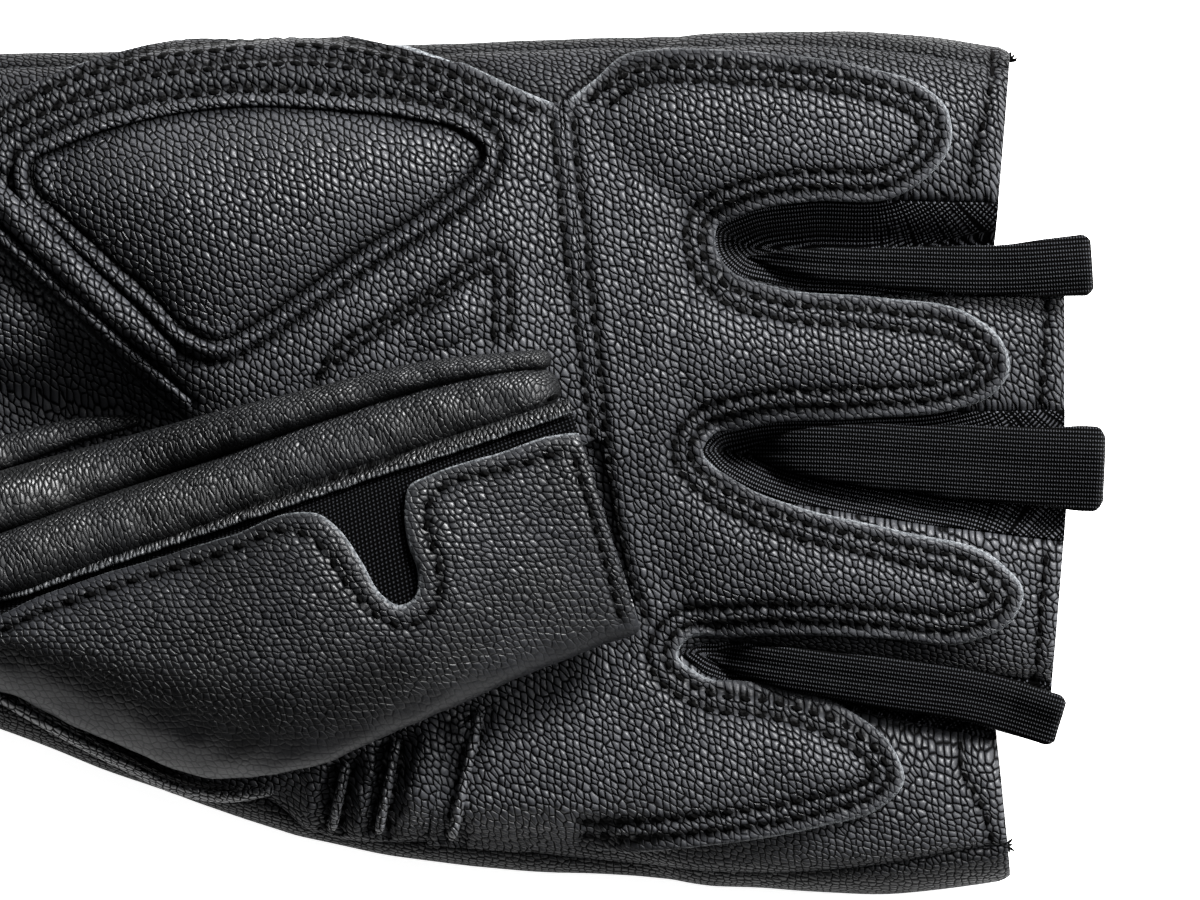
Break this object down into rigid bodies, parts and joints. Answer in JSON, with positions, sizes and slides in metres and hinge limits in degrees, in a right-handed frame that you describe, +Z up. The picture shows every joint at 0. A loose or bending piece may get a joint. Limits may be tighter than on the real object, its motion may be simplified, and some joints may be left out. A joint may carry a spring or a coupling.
{
  "type": "half-finger fitness glove",
  "caption": "Half-finger leather fitness glove for the right hand, hollow, lying palm up, with padded palm overlays, a folded-over thumb, knit gussets and pull tabs.",
  "frame": {"origin": "on the surface that the glove rests on, under the middle of the glove", "axes": "+X along the fingers, towards the finger mouths; +Y towards the little finger; +Z up, out of the palm"},
  "size_m": [0.1799, 0.104, 0.0351],
  "materials": {
    "leather": "pebbled, semi-matt",
    "padded_leather": "pebbled, soft sheen",
    "rib_knit": "fine rib knit, matt",
    "fine_mesh": "fine mesh, matt",
    "thread": "twisted thread, dull"
  },
  "bodies": {
    "root": {"back_panel": "leather", "palm_panel": "leather", "wrist_hem": "leather", "finger_panel": "leather", "heel_panel": "leather", "heel_bead": "leather", "heel_rib_inner": "leather", "heel_rib_outer": "leather", "thumb_panel": "leather", "thumb_piping": "leather", "side_tuck_1": "leather", "side_tuck_2": "leather", "side_tuck_3": "leather", "heel_pad": "padded_leather", "wedge_pad": "padded_leather", "thumb_roll_upper": "padded_leather", "thumb_roll_lower": "padded_leather", "thumb_roll_small": "padded_leather", "finger_gusset_1": "rib_knit", "finger_gusset_2": "rib_knit", "finger_gusset_3": "rib_knit", "pull_tab_1": "rib_knit", "pull_tab_2": "rib_knit", "pull_tab_3": "rib_knit", "thumb_gusset": "fine_mesh"}
  },
  "joints": []
}
